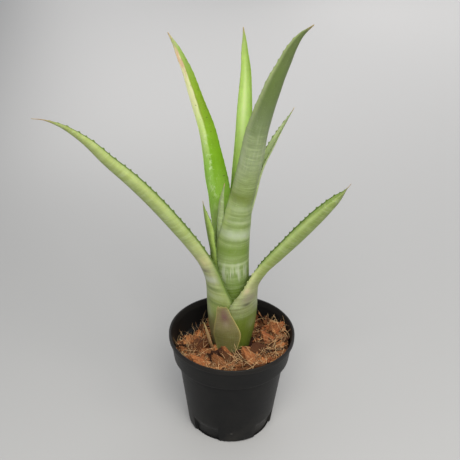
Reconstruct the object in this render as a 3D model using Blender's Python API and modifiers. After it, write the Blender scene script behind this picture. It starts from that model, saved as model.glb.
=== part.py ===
"""A young tank bromeliad in a nursery pot: pot, packed husk, loose husk chips, stem and leaves.

The frame is the pot's: the origin is the centre of the pot's underside, +Z is up, -Y is the
plant's front and +X its right. Lengths below are in millimetres and are scaled by MM.
"""
import math
import random

import bmesh
import bpy
import numpy as np

MM = 0.001
FIT_GAP = 0.3

# Pot: an injection-moulded nursery pot with a rim band that steps out from the body
POT_HEIGHT = 78.5
LIP_RADIUS = 45.0
LIP_HEIGHT = 3.6
LIP_STAND_OUT = 1.4
LIP_ROUND = 0.6
BAND_HEIGHT = 19.0
BAND_STEP = 3.1
STEP_ROUND = 1.0
WALL_TAPER = 0.13
WALL = 1.3
FLOOR = 1.6
POT_STEPS = 56

# Foot: four arcs of wall stand on the ground, and the wall between them is drawn in
FOOT_COUNT = 4
FOOT_ARC = 51.0
FIRST_FOOT_ANGLE = -80.0
FOOT_ROUND = 0.8
FOOT_BLEND = 3.0
NOTCH_HEIGHT = 13.5
NOTCH_SHOULDER = 10.0
NOTCH_DEPTH = 2.2
NOTCH_STEPS = 8
FOOT_THICKENING = NOTCH_DEPTH - 0.3 * WALL
DRAIN_RADIUS = 4.0
DRAIN_INSET = 4.7
DRAIN_STEPS = 16

# Growing medium: coconut husk packed in the pot, its top lower at the back left
BED_BELOW_RIM = 11.0
BED_RISE_TO_RIGHT = 0.08
BED_FALL_TO_BACK = 0.05

# Plant: its own upright axis, and the stub of a stem that the leaf bases step up
PLANT_X = -1.0
PLANT_Y = 6.0
ROOTED_DEPTH = 23.5
STEM_HEIGHT = 38.0
STEM_SHOULDER = 5.0
STEM_ROUND = 1.2
STEM_GAP = 0.4
STEM_STEPS = 24
SHEATH_GAP = 1.9

# Leaves: both faces are lofted from arcs that stand square to a centre line
LEAF_THICKNESS = 1.1
EDGE_THICKNESS = 0.5
THICKEST_SHARE = 0.55
LEAF_COLUMNS = 11

# Husk chips that lie loose on the bed, in rings that start at the pot's wall
CHIP_LENGTH = 8.2
CHIP_WIDTH = 6.2
CHIP_HEIGHT = 3.8
CHIP_WEAR = 0.7
CHIP_RING_COUNT = 2
CHIP_SPACING = 1.05
CHIP_TURN = 14.0
CHIP_SMALLEST = 0.86
CORNER_SMALLEST = 0.74
CHIP_SEED = 11

GREEN = (0.36, 0.47, 0.13)
VIVID_GREEN = (0.25, 0.46, 0.03)
LIGHT_GREEN = (0.48, 0.64, 0.18)
GREY_GREEN = (0.26, 0.34, 0.13)
OLIVE = (0.22, 0.20, 0.10)
STRAW = (0.52, 0.36, 0.18)
STEM_GREEN = (0.55, 0.60, 0.38)
HUSK = (0.30, 0.13, 0.05)
DARK_HUSK = (0.09, 0.04, 0.02)
POT_BLACK = (0.021, 0.021, 0.020)

# Each leaf: its colour, the compass angle its back faces, its rows, its twist, and its sections
# from base to tip. A twist is the shares of the length where it starts and ends, and its degrees.
# A section is the centre line's x and y from the plant's axis, its height above the
# stem's foot, the curl's radius and half the angle that the blade wraps. The bases lie inside
# one another in this order, from the outermost in; the stub and the dry sheath stand outside.
NO_TWIST = (0, 1, 0)
LEAVES = {
    "leaf_lower_right": (GREEN, -16, 20, (0.3, 0.5, -6), (
        (0, 0, 6, 10.9, 60), (0, 0, 16, 13.2, 80), (0, 0, 26, 15.2, 92), (0, 0, 38, 17.3, 94),
        (0, 0, 54, 18.7, 88), (0.6, -0.2, 66, 18.2, 75), (7.2, -2, 76.5, 12.4, 68),
        (17.2, -4.9, 90.5, 8.6, 82), (29.5, -8.4, 106.5, 8, 93), (43.5, -12.4, 126, 8.2, 97),
        (55.7, -16, 143, 7.4, 92), (64.3, -18.5, 154, 5.4, 80), (72, -20.7, 163, 1.5, 40))),
    "leaf_lower_left": (GREEN, 199, 22, (0.25, 0.75, 26), (
        (0, 0, 10, 10.2, 60), (0, 0, 18, 11.9, 80), (0, 0, 26, 13.6, 92), (0, 0, 38, 15.6, 94),
        (0, 0, 54, 17, 86), (-0.5, -0.2, 68, 17, 76), (-5.7, -1.9, 81, 13, 74),
        (-13.5, -4.6, 95, 9.5, 84), (-25, -8.6, 113.5, 8.2, 95), (-36, -12.4, 130, 7.9, 98),
        (-49, -17, 149, 7.5, 98), (-62, -21.5, 166, 6.9, 97), (-77, -26.7, 183.5, 6, 93),
        (-92, -32, 201.5, 4.4, 84), (-106, -37, 212.5, 2.4, 68), (-116.5, -40, 216, 0.9, 30))),
    "leaf_short_left": (GREEN, 184, 13, (0.5, 0.85, 20), (
        (0, 0, 14, 9, 55), (0, 0, 26, 11.4, 75), (0, 0, 38, 13.1, 78), (0, 0, 56, 14.1, 72),
        (-0.6, 0, 76, 13.9, 58), (-1.8, 0, 91.5, 13.2, 44), (-5.9, 0.3, 103, 10, 42),
        (-10, 0.6, 110, 6.8, 56), (-13.2, 0.8, 118, 4.9, 76), (-16.6, 0.6, 129, 3, 68),
        (-19.6, 0.4, 138.5, 0.8, 25))),
    "leaf_front_tall": (GREY_GREEN, -75, 22, NO_TWIST, (
        (0, 0, 18, 8.1, 70), (0, 0, 26, 9.7, 95), (0, 0, 38, 11.1, 110), (0, 0, 56, 11.9, 112),
        (0, 0, 81, 12.2, 110), (-0.2, 0, 99, 12, 100), (0.8, -0.2, 111, 11.1, 87),
        (2.3, -0.5, 124, 10.1, 80), (4.6, -1.5, 140, 8.8, 82), (7.4, -2.5, 153, 8.4, 86),
        (11.4, -5, 176, 7.9, 90), (14.2, -8, 196, 7.4, 90), (17.9, -11, 211, 6.6, 88),
        (23.1, -15, 230, 5.7, 84), (28.4, -19, 246, 4.5, 76), (32.7, -23, 258, 3.5, 66),
        (37, -26, 266, 2.4, 55), (44, -31, 274, 0.8, 30))),
    "leaf_inner_young": (GREY_GREEN, 223, 12, NO_TWIST, (
        (0, 0, 22, 7.1, 40), (0, 0, 38, 9.5, 46), (0, 0, 66, 10.3, 48), (-0.4, 0, 94, 10, 46),
        (-3, 0.8, 111, 7.4, 44), (-5.8, 1.6, 127, 4.6, 48), (-6.2, -0.6, 141, 2.6, 50),
        (-5.2, -3.4, 154, 0.8, 25))),
    "leaf_back_right": (GREEN, 20, 15, NO_TWIST, (
        (0, 0, 22, 7.1, 55), (0, 0, 38, 9.5, 70), (0, 0, 66, 10.3, 72), (0.4, 0.4, 94, 10, 70),
        (2.6, 4.2, 111, 7.2, 66), (7.6, 6.2, 127, 5.4, 66), (12.4, 8, 143, 4.2, 74),
        (15, 9, 154, 3.7, 80), (18.6, 10, 165, 3.6, 82), (22.8, 11, 174, 3.4, 78),
        (28.3, 12.2, 185, 2.5, 66), (38, 14, 201.5, 0.7, 25))),
    "leaf_back_left": (VIVID_GREEN, 125, 20, (0.35, 0.6, -18), (
        (0, 0, 26, 6.1, 60), (0, 0, 38, 7.9, 78), (0, 0, 66, 8.6, 80), (-0.5, 0.3, 92, 8.5, 54),
        (-4, 2.6, 109, 8.8, 54), (-6, 4.8, 124, 8.8, 58), (-8.3, 7, 140, 8.5, 70),
        (-10.9, 8.8, 152, 7.9, 80), (-14.1, 12, 167, 6.6, 80), (-17.7, 16, 183, 5.7, 78),
        (-23.1, 20, 198.5, 4.8, 74), (-27.9, 23, 212, 4.1, 70), (-32.1, 25.4, 223, 3.5, 64),
        (-36.6, 27.2, 232.6, 2.6, 56), (-43.6, 30, 244.5, 0.8, 25))),
    "leaf_centre": (LIGHT_GREEN, 88, 18, NO_TWIST, (
        (0, 0, 31, 5.1, 110), (0, 0, 46, 6.2, 130), (0, 0, 86, 6.7, 130),
        (0.6, 0.3, 111, 6.4, 124), (2, 1.2, 128, 6, 112), (4.2, 3, 154, 5.6, 98),
        (5.4, 6, 175, 5.5, 92), (6.3, 9, 201, 5, 86), (6.6, 10.2, 219, 3.9, 78),
        (5.4, 10, 242, 2.2, 60), (4.2, 9, 256.5, 0.7, 25))),
    "leaf_cut_stub": (OLIVE, -98, 9, NO_TWIST, (
        (0, 0, 18, 16.6, 22), (0, 0, 28, 17.6, 26), (0, 0, 40, 19.5, 30), (-1.2, 0, 52, 20.6, 21),
        (-2.6, 0, 61, 20.7, 13), (-3.6, 0, 66.5, 20.4, 9))),
    "dry_sheath": (STRAW, 228, 7, NO_TWIST, (
        (-9.9, -11.8, 25, 4, 28), (-11.8, -11.8, 31, 4, 28), (-14, -11.2, 39, 3.8, 24),
        (-16.5, -10.4, 47, 3.4, 12))),
}
OUTERMOST = "leaf_lower_right"
INNERMOST = "leaf_centre"
STUB = "leaf_cut_stub"


def clear_scene():
    """Remove whatever objects the file opened with."""
    for thing in list(bpy.data.objects):
        bpy.data.objects.remove(thing, do_unlink=True)


def new_collection(name):
    collection = bpy.data.collections.new(name)
    bpy.context.scene.collection.children.link(collection)
    return collection


def material(name, colour, roughness):
    """A Principled material in one colour."""
    made = bpy.data.materials.new(name)
    made.use_nodes = True
    shader = made.node_tree.nodes["Principled BSDF"]
    shader.inputs["Base Color"].default_value = (*colour, 1.0)
    shader.inputs["Roughness"].default_value = roughness
    made.diffuse_color = (*colour, 1.0)
    return made


def add_object(name, mesh, collection, finish=None):
    thing = bpy.data.objects.new(name, mesh)
    collection.objects.link(thing)
    if finish is not None:
        mesh.materials.append(finish)
    return thing


def turned(name, profile, steps, collection, finish=None):
    """Turn an outline of (radius, height) points, listed down the outside, about the Z axis."""
    mesh = bpy.data.meshes.new(name)
    points = [(radius * MM, 0.0, height * MM) for radius, height in profile]
    count = len(points)
    closed = profile[0][0] > 0.0
    edges = [(i, (i + 1) % count) for i in range(count if closed else count - 1)]
    mesh.from_pydata(points, edges, [])
    thing = add_object(name, mesh, collection, finish)
    screw = thing.modifiers.new("Turn", "SCREW")
    screw.axis = "Z"
    screw.steps = steps
    screw.render_steps = steps
    screw.use_smooth_shade = True
    screw.use_merge_vertices = True
    screw.merge_threshold = 0.00001
    return thing


def face_outward(mesh):
    """Turn every face of a closed mesh outward."""
    bm = bmesh.new()
    bm.from_mesh(mesh)
    bmesh.ops.recalc_face_normals(bm, faces=bm.faces)
    bm.to_mesh(mesh)
    bm.free()


def make_cutter(thing):
    """A cutter stays in its own collection as a wire guide."""
    thing.display_type = "WIRE"
    thing.hide_render = True
    return thing


def cut(thing, cutter, name):
    boolean = thing.modifiers.new(name, "BOOLEAN")
    boolean.operation = "DIFFERENCE"
    boolean.solver = "EXACT"
    boolean.object = cutter


def weigh_normals(thing):
    """Shade the flat parts flat and the round parts round, as the last step of a stack."""
    weighted = thing.modifiers.new("Weighted normals", "WEIGHTED_NORMAL")
    weighted.keep_sharp = True


def band_radius(height):
    """The rim band's outer radius."""
    return LIP_RADIUS - LIP_STAND_OUT - WALL_TAPER * (POT_HEIGHT - LIP_HEIGHT - height)


def body_radius(height):
    """The pot's outer radius below the rim band."""
    return band_radius(height) - BAND_STEP


def inner_radius(height):
    """The pot's inner radius, in the band or in the body."""
    if height > POT_HEIGHT - BAND_HEIGHT:
        return band_radius(height) - WALL
    return body_radius(height) - WALL


def foot_inner_radius(height):
    """The pot's inner radius where the wall is thickened behind the notches."""
    return body_radius(height) - WALL - FOOT_THICKENING


def make_pot(parts, cutters):
    """One moulding: lip, rim band, tapering body, floor, and a foot drawn in between four arcs."""
    lip_under = POT_HEIGHT - LIP_HEIGHT
    band_foot = POT_HEIGHT - BAND_HEIGHT
    shelf = band_foot - WALL
    foot_top = NOTCH_HEIGHT + FOOT_BLEND
    profile = [
        (LIP_RADIUS - WALL, POT_HEIGHT),
        (LIP_RADIUS - LIP_ROUND, POT_HEIGHT),
        (LIP_RADIUS, POT_HEIGHT - LIP_ROUND),
        (LIP_RADIUS, lip_under + LIP_ROUND),
        (LIP_RADIUS - LIP_ROUND, lip_under),
        (band_radius(lip_under), lip_under - LIP_ROUND / 2),
        (band_radius(band_foot), band_foot),
        (body_radius(shelf) + STEP_ROUND / 2, shelf),
        (body_radius(shelf), shelf - STEP_ROUND),
        (body_radius(FOOT_ROUND), FOOT_ROUND),
        (body_radius(0.0) - FOOT_ROUND, 0.0),
        (0.0, 0.0),
        (0.0, FLOOR),
        (foot_inner_radius(0.0), FLOOR),
        (foot_inner_radius(NOTCH_HEIGHT), NOTCH_HEIGHT),
        (inner_radius(foot_top), foot_top),
        (inner_radius(shelf), shelf),
        (band_radius(band_foot) - WALL, band_foot + WALL),
        (band_radius(lip_under) - WALL, lip_under),
    ]
    pot = turned("pot", profile, POT_STEPS, parts, material("pot_black_plastic", POT_BLACK, 0.42))
    pitch = 360.0 / FOOT_COUNT
    for index in range(FOOT_COUNT):
        middle = FIRST_FOOT_ANGLE + (index + 0.5) * pitch
        cut(pot, notch_cutter(index + 1, middle, pitch - FOOT_ARC, cutters), f"Notch {index + 1}")
        cut(pot, drain_cutter(index + 1, middle, cutters), f"Drain {index + 1}")
    weigh_normals(pot)
    return pot


def notch_cutter(number, middle, arc, cutters):
    """A block round part of the foot: it presses the wall in, and runs out at its sloping top."""
    over = FIT_GAP
    deep = body_radius(0.0) - NOTCH_DEPTH
    corners = (
        (deep, -over),
        (deep + WALL_TAPER * NOTCH_SHOULDER, NOTCH_SHOULDER),
        (body_radius(NOTCH_HEIGHT) + over, NOTCH_HEIGHT + over),
        (LIP_RADIUS, -over),
    )
    count = len(corners)
    points = []
    for angle in np.radians(middle + arc * np.linspace(-0.5, 0.5, NOTCH_STEPS + 1)):
        for radius, height in corners:
            points.append((radius * math.cos(angle) * MM, radius * math.sin(angle) * MM, height * MM))
    last = count * NOTCH_STEPS
    faces = [tuple(range(count)), tuple(range(last, last + count))]
    for start in range(0, last, count):
        for side in range(count):
            after = (side + 1) % count
            faces.append((start + side, start + after, start + count + after, start + count + side))
    mesh = bpy.data.meshes.new(f"notch_cutter_{number}")
    mesh.from_pydata(points, [], faces)
    face_outward(mesh)
    return make_cutter(add_object(mesh.name, mesh, cutters))


def drain_cutter(number, middle, cutters):
    """A drain hole through the floor, behind a notch."""
    mesh = bpy.data.meshes.new(f"drain_cutter_{number}")
    bm = bmesh.new()
    bmesh.ops.create_cone(
        bm,
        cap_ends=True,
        segments=DRAIN_STEPS,
        radius1=DRAIN_RADIUS * MM,
        radius2=DRAIN_RADIUS * MM,
        depth=4 * FLOOR * MM,
    )
    bm.to_mesh(mesh)
    bm.free()
    cutter = make_cutter(add_object(mesh.name, mesh, cutters))
    circle = foot_inner_radius(0.0) - DRAIN_INSET - DRAIN_RADIUS
    angle = math.radians(middle)
    cutter.location = (circle * math.cos(angle) * MM, circle * math.sin(angle) * MM, 0.0)
    return cutter


def stem_foot():
    """The height of the stem's foot above the ground."""
    return POT_HEIGHT - BED_BELOW_RIM - ROOTED_DEPTH


def stem_radius(rise):
    """The stem's radius at a rise above its foot: it clears the bases of the leaves on it."""
    low, high = LEAVES[OUTERMOST][4][0], LEAVES[INNERMOST][4][0]
    at_base = low[3] + (high[3] - low[3]) * (rise - low[2]) / (high[2] - low[2])
    return at_base - LEAF_THICKNESS - STEM_GAP


def stem_base(gap):
    """The outline of the stem's lower end, or of the well that holds it with a gap."""
    foot = stem_foot()
    return [
        (stem_radius(STEM_SHOULDER) + gap, foot + STEM_SHOULDER),
        (stem_radius(STEM_SHOULDER) - STEM_ROUND + gap, foot + STEM_ROUND - gap),
        (stem_radius(STEM_SHOULDER) - 2 * STEM_ROUND + gap, foot - gap),
    ]


def make_stem(parts):
    """The short stem that the leaf bases grow from, hidden inside them."""
    top = stem_foot() + STEM_HEIGHT
    profile = [
        (0.0, top),
        (stem_radius(STEM_HEIGHT) - STEM_ROUND / 2, top),
        (stem_radius(STEM_HEIGHT), top - STEM_ROUND / 2),
        *stem_base(0.0),
        (0.0, stem_foot()),
    ]
    stem = turned("stem", profile, STEM_STEPS, parts, material("stem_tissue", STEM_GREEN, 0.6))
    stem.location = (PLANT_X * MM, PLANT_Y * MM, 0.0)
    return stem


def bed_height(x, y):
    """The height of the packed husk's sloping top at a place in the pot."""
    return POT_HEIGHT - BED_BELOW_RIM + BED_RISE_TO_RIGHT * x - BED_FALL_TO_BACK * y


def well_outline():
    """The outline, down the outside, of the room that the stem and the leaf bases stand in."""
    foot = stem_foot()
    stub = [(section[3] + SHEATH_GAP, foot + section[2]) for section in LEAVES[STUB][4][:3]]
    sides = [(section[3] + SHEATH_GAP, foot + section[2]) for section in LEAVES[OUTERMOST][4][:3]]
    below_stub = [(radius, height) for radius, height in sides if height < stub[0][1]]
    top = POT_HEIGHT + BED_BELOW_RIM
    return [
        (0.0, top),
        (stub[-1][0], top),
        *reversed(stub),
        *reversed(below_stub),
        *stem_base(FIT_GAP),
        (0.0, foot - FIT_GAP),
    ]


def make_growing_medium(parts, cutters):
    """Husk packed against the pot's inside, with a sloping top and a well that the plant sits in."""
    shelf = POT_HEIGHT - BAND_HEIGHT - WALL
    shoulder = shelf + 2 * WALL
    foot_top = NOTCH_HEIGHT + FOOT_BLEND
    low = FLOOR + FIT_GAP
    profile = [
        (0.0, POT_HEIGHT),
        (band_radius(POT_HEIGHT) - WALL - FIT_GAP, POT_HEIGHT),
        (band_radius(shoulder) - WALL - FIT_GAP, shoulder + FIT_GAP),
        (inner_radius(shelf) - FIT_GAP, shelf + FIT_GAP),
        (inner_radius(foot_top) - FIT_GAP, foot_top),
        (foot_inner_radius(NOTCH_HEIGHT) - FIT_GAP, NOTCH_HEIGHT),
        (foot_inner_radius(0.0) - FIT_GAP, low),
        (0.0, low),
    ]
    finish = material("packed_husk", DARK_HUSK, 0.95)
    medium = turned("growing_medium", profile, POT_STEPS, parts, finish)
    well_cutter = make_cutter(turned("well_cutter", well_outline(), POT_STEPS, cutters))
    well_cutter.location = (PLANT_X * MM, PLANT_Y * MM, 0.0)
    cut(medium, well_cutter, "Well")
    cut(medium, level_cutter(cutters), "Level")
    weigh_normals(medium)
    return medium


def level_cutter(cutters):
    """A block that takes away everything above the bed's slope."""
    mesh = bpy.data.meshes.new("level_cutter")
    bm = bmesh.new()
    bmesh.ops.create_cube(bm, size=2.0)
    for vert in bm.verts:
        x = vert.co.x * 2 * LIP_RADIUS
        y = vert.co.y * 2 * LIP_RADIUS
        z = bed_height(x, y) if vert.co.z < 0 else 2 * POT_HEIGHT
        vert.co = (x * MM, y * MM, z * MM)
    bm.to_mesh(mesh)
    bm.free()
    return make_cutter(add_object(mesh.name, mesh, cutters))


def smooth_sections(sections, count):
    """Read count sections at even steps along a smooth curve through the given ones."""
    given = np.array(sections, float)
    steps = np.linalg.norm(np.diff(given[:, :3], axis=0), axis=1)
    along = np.concatenate(([0.0], np.cumsum(steps)))
    rates = np.diff(given, axis=0) / steps[:, None]
    before, after = steps[:-1, None], steps[1:, None]
    slopes = np.zeros_like(given)
    slopes[0], slopes[-1] = rates[0], rates[-1]
    slopes[1:-1] = (rates[:-1] * after + rates[1:] * before) / (before + after)
    places = np.linspace(0.0, along[-1], count)
    span = np.clip(np.searchsorted(along, places, side="right") - 1, 0, len(steps) - 1)
    length = steps[span][:, None]
    u = (places - along[span])[:, None] / length
    start, end = given[span], given[span + 1]
    lead, trail = slopes[span] * length, slopes[span + 1] * length
    return (
        (2 * u**3 - 3 * u**2 + 1) * start
        + (u**3 - 2 * u**2 + u) * lead
        + (3 * u**2 - 2 * u**3) * end
        + (u**3 - u**2) * trail
    )


def leaf_faces(angle, twist, sections, rows):
    """The leaf's back and its inner face, as two grids of points in millimetres.

    Each row is an arc round the centre line, in the plane square to the leaf's keel, which goes
    straight up as far as the widest row and then follows the back. The inner face lies the
    blade's thickness inside the back, and the thickness falls off to the edges and the tip.
    """
    read = smooth_sections(sections, rows)
    centre = read[:, :3] + np.array((PLANT_X, PLANT_Y, stem_foot()))
    facing = np.array((math.cos(math.radians(angle)), math.sin(math.radians(angle)), 0.0))
    reach = np.maximum.accumulate(read[::-1, 3])[::-1]
    keel = centre + reach[:, None] * facing
    tangent = np.gradient(keel, axis=0)
    tangent /= np.linalg.norm(tangent, axis=1)[:, None]
    back = facing - (tangent @ facing)[:, None] * tangent
    back /= np.linalg.norm(back, axis=1)[:, None]
    side = np.cross(tangent, back)
    across = np.linspace(-1.0, 1.0, LEAF_COLUMNS)
    start, end, degrees = twist
    twisted = np.interp(np.linspace(0.0, 1.0, rows), (start, end), (0.0, degrees))
    turn = np.radians(read[:, 4][:, None] * across[None, :] + twisted[:, None])
    direction = np.cos(turn)[..., None] * back[:, None, :] + np.sin(turn)[..., None] * side[:, None, :]
    radius = read[:, 3][:, None]
    body = LEAF_THICKNESS - (LEAF_THICKNESS - EDGE_THICKNESS) * across[None, :] ** 4
    thickness = np.minimum(body, THICKEST_SHARE * radius)
    outer = centre[:, None, :] + radius[..., None] * direction
    inner = centre[:, None, :] + (radius - thickness)[..., None] * direction
    return outer, inner


def make_leaf(name, colour, angle, rows, twist, sections, parts):
    """A closed strip: the back, the inner face, both edges, the base and the tip."""
    outer, inner = leaf_faces(angle, twist, sections, rows)
    points = np.concatenate((outer.reshape(-1, 3), inner.reshape(-1, 3))) * MM
    over = np.arange(rows * LEAF_COLUMNS).reshape(rows, LEAF_COLUMNS)
    under = over + rows * LEAF_COLUMNS
    faces = []
    for face in (over, under):
        square = np.stack((face[:-1, :-1], face[:-1, 1:], face[1:, 1:], face[1:, :-1]), axis=-1)
        faces += square.reshape(-1, 4).tolist()
    for rim in (np.s_[:, 0], np.s_[:, -1], np.s_[0], np.s_[-1]):
        top, bottom = over[rim], under[rim]
        faces += np.stack((top[:-1], top[1:], bottom[1:], bottom[:-1]), axis=-1).tolist()
    mesh = bpy.data.meshes.new(name)
    mesh.from_pydata(points.tolist(), [], faces)
    face_outward(mesh)
    mesh.shade_smooth()
    return add_object(name, mesh, parts, material(f"{name}_blade", colour, 0.45))


def plant_radius_at(height):
    """How far the outermost sheaths stand from the plant's axis at a height."""
    given = np.array(LEAVES[STUB][4], float)
    return float(np.interp(height - stem_foot(), given[:, 2], given[:, 3]))


def make_chips(parts):
    """Rough blocks of husk that lie on the bed, clear of the wall, each other and the plant."""
    draw = random.Random(CHIP_SEED)
    finish = material("husk_chip", HUSK, 0.9)
    across = math.hypot(CHIP_LENGTH, CHIP_WIDTH)
    bed = bed_height(0.0, 0.0)
    first_ring = inner_radius(bed) - FIT_GAP - across / 2
    nearest = plant_radius_at(bed + CHIP_HEIGHT) + FIT_GAP + across / 2
    chips = []
    for ring in range(CHIP_RING_COUNT):
        radius = first_ring - ring * across
        count = int(2 * math.pi * radius / (across * CHIP_SPACING))
        for index in range(count):
            angle = 2 * math.pi * (index + 0.25 * ring) / count
            x, y = radius * math.cos(angle), radius * math.sin(angle)
            turn = angle + math.pi / 2 + math.radians(draw.uniform(-CHIP_TURN, CHIP_TURN))
            shrink = draw.uniform(CHIP_SMALLEST, 1.0)
            corners = [[draw.uniform(CORNER_SMALLEST, 1.0) for axis in range(3)] for corner in range(8)]
            if math.hypot(x - PLANT_X, y - PLANT_Y) > nearest:
                chips.append(make_chip(len(chips) + 1, x, y, turn, shrink, corners, parts, finish))
    return chips


def make_chip(number, x, y, turn, shrink, corners, parts, finish):
    """A block with uneven corners and worn edges, tilted to lie flat on the bed's slope."""
    mesh = bpy.data.meshes.new("husk_chip")
    bm = bmesh.new()
    bmesh.ops.create_cube(bm, size=1.0)
    for corner, vert in zip(corners, bm.verts):
        vert.co.x *= CHIP_LENGTH * shrink * corner[0] * MM
        vert.co.y *= CHIP_WIDTH * shrink * corner[1] * MM
        vert.co.z *= CHIP_HEIGHT * (corner[2] if vert.co.z > 0 else 1.0) * MM
    bm.to_mesh(mesh)
    bm.free()
    chip = add_object(f"husk_chip_{number:02d}", mesh, parts, finish)
    bevel = chip.modifiers.new("Worn corners", "BEVEL")
    bevel.width = CHIP_WEAR * MM
    bevel.segments = 1
    chip.location = (x * MM, y * MM, (bed_height(x, y) + FIT_GAP + CHIP_HEIGHT / 2) * MM)
    lean = math.atan(BED_RISE_TO_RIGHT * math.sin(turn) + BED_FALL_TO_BACK * math.cos(turn))
    pitch = math.atan(BED_RISE_TO_RIGHT * math.cos(turn) - BED_FALL_TO_BACK * math.sin(turn))
    chip.rotation_euler = (-lean, -pitch, turn)
    return chip


def build():
    clear_scene()
    parts = new_collection("potted_bromeliad")
    cutters = new_collection("cutters")
    make_pot(parts, cutters)
    make_growing_medium(parts, cutters)
    make_stem(parts)
    for name, (colour, angle, rows, twist, sections) in LEAVES.items():
        make_leaf(name, colour, angle, rows, twist, sections, parts)
    make_chips(parts)


build()
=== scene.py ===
"""The looks of a young tank bromeliad in a nursery pot, in the frame of its CAD model."""

import bpy
import numpy as np
from mathutils import Matrix, Vector


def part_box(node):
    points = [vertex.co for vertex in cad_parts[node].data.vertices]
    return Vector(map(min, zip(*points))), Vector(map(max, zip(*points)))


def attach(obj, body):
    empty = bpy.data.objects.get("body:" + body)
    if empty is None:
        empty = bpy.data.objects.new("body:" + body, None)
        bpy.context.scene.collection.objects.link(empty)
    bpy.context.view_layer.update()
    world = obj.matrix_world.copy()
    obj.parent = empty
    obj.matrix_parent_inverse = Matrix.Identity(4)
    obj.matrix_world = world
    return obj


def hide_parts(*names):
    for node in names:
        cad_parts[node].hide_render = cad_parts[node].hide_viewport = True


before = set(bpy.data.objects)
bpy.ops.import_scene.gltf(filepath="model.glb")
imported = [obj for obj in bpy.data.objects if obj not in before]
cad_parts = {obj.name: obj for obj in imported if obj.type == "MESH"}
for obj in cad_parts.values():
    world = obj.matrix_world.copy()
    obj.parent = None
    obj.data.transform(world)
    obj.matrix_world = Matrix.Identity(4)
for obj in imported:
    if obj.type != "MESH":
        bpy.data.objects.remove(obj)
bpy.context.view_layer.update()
MM = 0.001


# ---- Pot ----------------------------------------------------------------------------------
# The real piece is a thin injection-moulded nursery pot in black polypropylene. It has a rolled
# lip, a rim band that steps out, a foot drawn in between four arcs, and drain holes in its floor.

class Value:
    """A shader socket that takes part in arithmetic as a number does."""

    def __init__(self, shader, socket):
        self.shader = shader
        self.socket = socket

    def math(self, operation, *others):
        sockets = dict(enumerate((self, *others)))
        return self.shader.node("Math", {"operation": operation}, sockets)

    def __add__(self, other):
        return self.math("ADD", other)

    def __sub__(self, other):
        return self.math("SUBTRACT", other)

    def __mul__(self, other):
        return self.math("MULTIPLY", other)

    def __rsub__(self, other):
        return self.math("MULTIPLY_ADD", -1.0, other)

    __radd__ = __add__
    __rmul__ = __mul__

    def fade(self, low, high):
        """Nought below low and one above high, with a smooth rise between them."""
        settings = {"interpolation_type": "SMOOTHSTEP"}
        return self.shader.node("MapRange", settings, {0: self, 1: low, 2: high, 3: 0.0, 4: 1.0})

    def near(self, middle, width):
        """One at a middle value, falling smoothly to nought a width away on either side."""
        return 1.0 - (self - middle).math("ABSOLUTE").fade(0.0, width)


class Shader:
    """A node material that is built up by calls, round its Principled node."""

    def __init__(self, name, **constants):
        self.material = bpy.data.materials.new(name)
        self.material.use_nodes = True
        self.tree = self.material.node_tree
        self.surface = self.tree.nodes["Principled BSDF"]
        self.finish({key.replace("_", " "): value for key, value in constants.items()})

    def node(self, kind, settings, sockets, output=0):
        """Add a node of a kind, set its properties, feed its sockets and return one output."""
        made = self.tree.nodes.new("ShaderNode" + kind)
        for key, value in settings.items():
            setattr(made, key, value)
        for key, value in sockets.items():
            self.feed(made.inputs[key], value)
        return Value(self, made.outputs[output])

    def feed(self, socket, value):
        if isinstance(value, Value):
            self.tree.links.new(value.socket, socket)
        elif isinstance(value, tuple) and len(value) == 3 and socket.type == "RGBA":
            socket.default_value = (*value, 1.0)
        else:
            socket.default_value = value

    def finish(self, sockets):
        for key, value in sockets.items():
            self.feed(self.surface.inputs[key], value)

    def place(self):
        return self.node("TexCoord", {}, {}, 3)

    def attribute(self, name, output=2):
        return self.node("Attribute", {"attribute_name": name}, {}, output)

    def vector(self, x, y, z):
        return self.node("CombineXYZ", {}, {0: x, 1: y, 2: z})

    def part(self, vector, axis):
        return self.node("SeparateXYZ", {}, {0: vector}, axis)

    def noise(self, vector, scale, detail=2.0, roughness=0.5, distortion=0.0):
        sockets = {"Vector": vector, "Scale": scale, "Detail": detail, "Roughness": roughness}
        return self.node("TexNoise", {}, {**sockets, "Distortion": distortion})

    def mix(self, factor, first, second):
        return self.node("Mix", {"data_type": "RGBA"}, {0: factor, 6: first, 7: second}, 2)

    def shade(self, colour, factor):
        return self.node("VectorMath", {"operation": "SCALE"}, {0: colour, 3: factor})

    def bump(self, height, distance):
        return self.node("Bump", {}, {"Height": height, "Distance": distance, "Strength": 1.0})


def srgb(red, green, blue):
    """A display colour, each part from 0 to 255, as linear light."""
    part = np.array((red, green, blue)) / 255.0
    linear = np.where(part < 0.04045, part / 12.92, ((part + 0.055) / 1.055) ** 2.4)
    return tuple(float(value) for value in linear)


def ring_faces(rows, columns):
    """The quads of a grid whose columns run on round a closed ring."""
    number = np.arange(rows * columns).reshape(rows, columns)
    after = np.roll(number, -1, axis=1)
    return np.stack((number[:-1], after[:-1], after[1:], number[1:]), axis=-1).reshape(-1, 4)


def add_piece(name, points, faces, shader, slot, replaced=(), values=None, uv=None):
    """Make a smooth mesh piece that rides on the root body, with a value per point for each name."""
    mesh = bpy.data.meshes.new(name)
    mesh.from_pydata(points.reshape(-1, 3).tolist(), [], faces.tolist())
    for key, value in (values or {}).items():
        kind, field = ("FLOAT", "value") if value.ndim == 1 else ("FLOAT_VECTOR", "vector")
        mesh.attributes.new(key, kind, "POINT").data.foreach_set(field, value.ravel())
    if uv is not None:
        mesh.uv_layers.new(name="blade").data.foreach_set("uv", uv[faces.ravel()].ravel())
    mesh.materials.append(shader.material)
    mesh.shade_smooth()
    mesh.validate()
    piece = bpy.data.objects.new(name, mesh)
    bpy.context.scene.collection.objects.link(piece)
    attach(piece, "root")
    if replaced:
        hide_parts(*replaced)
    return piece


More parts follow.
